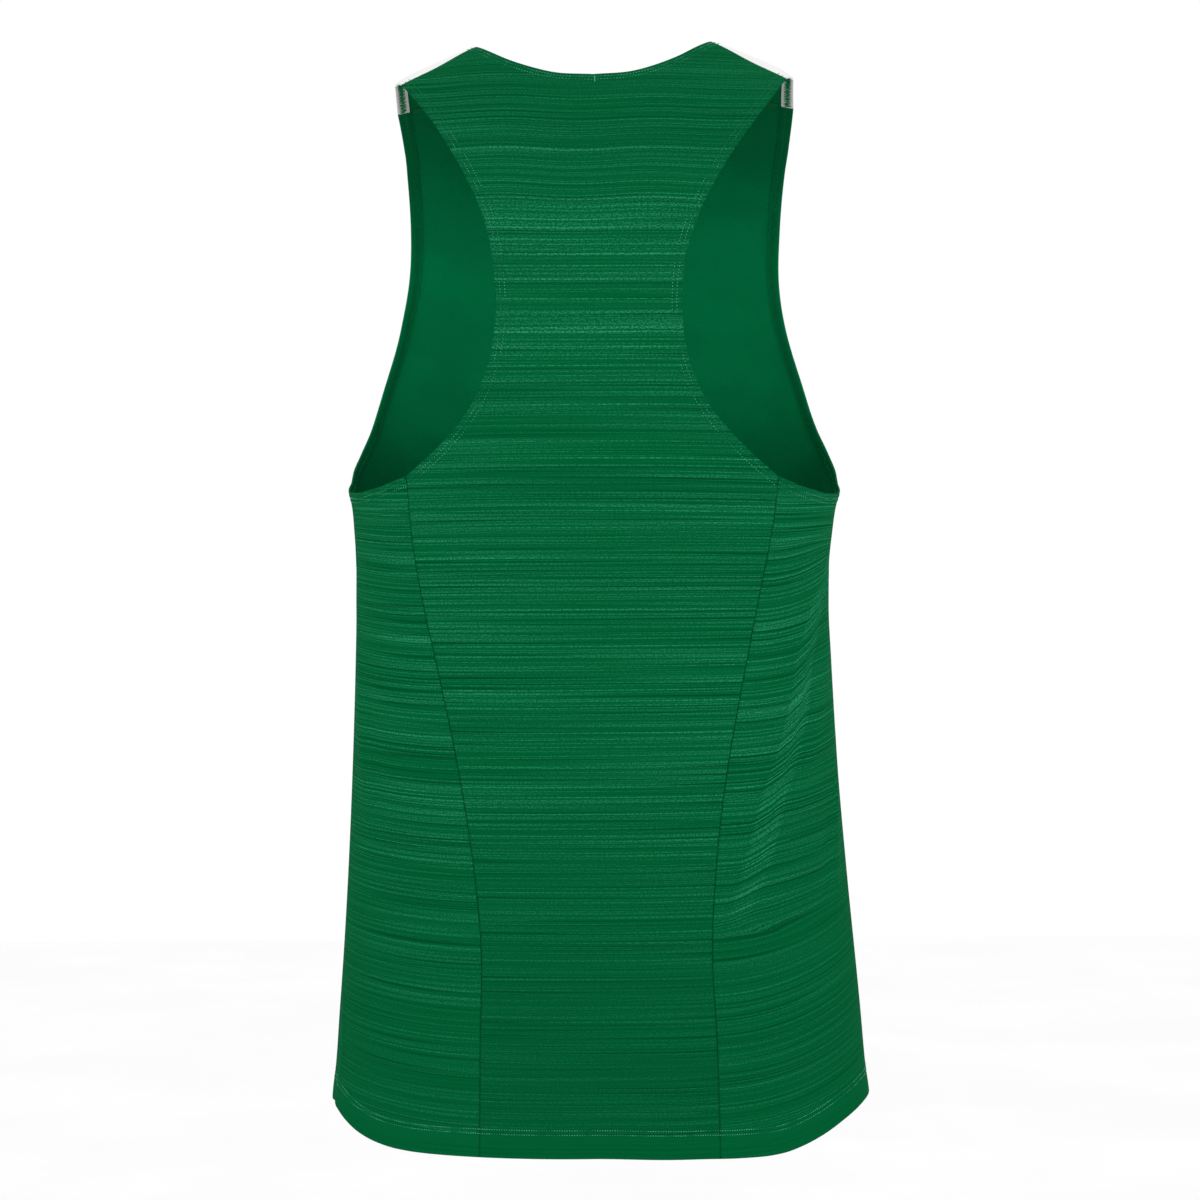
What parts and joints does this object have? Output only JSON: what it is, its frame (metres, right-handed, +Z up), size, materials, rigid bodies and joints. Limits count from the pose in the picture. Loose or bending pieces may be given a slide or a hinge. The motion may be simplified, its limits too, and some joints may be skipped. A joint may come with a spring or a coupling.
{
  "type": "running singlet",
  "caption": "Sleeveless racer-back running singlet, hollow and filled out as worn, with green knit body panels, white shoulder yokes and open neck, armholes and hem.",
  "frame": {"origin": "midway between the two highest points of the shoulders, where the wearer's shoulders hold the garment", "axes": "+Z up along the body, +Y out of the back, -Y out of the front, +X to the wearer's left"},
  "size_m": [0.3627, 0.245, 0.7339],
  "materials": {
    "green_knit": "matt polyester jersey, space-dyed in fine light and dark streaks",
    "white_knit": "matt white polyester jersey"
  },
  "bodies": {
    "root": {"back_panel": "green_knit", "front_panel": "green_knit", "side_panel_left": "green_knit", "side_panel_right": "green_knit", "yoke_left": "white_knit", "yoke_right": "white_knit"}
  },
  "joints": []
}
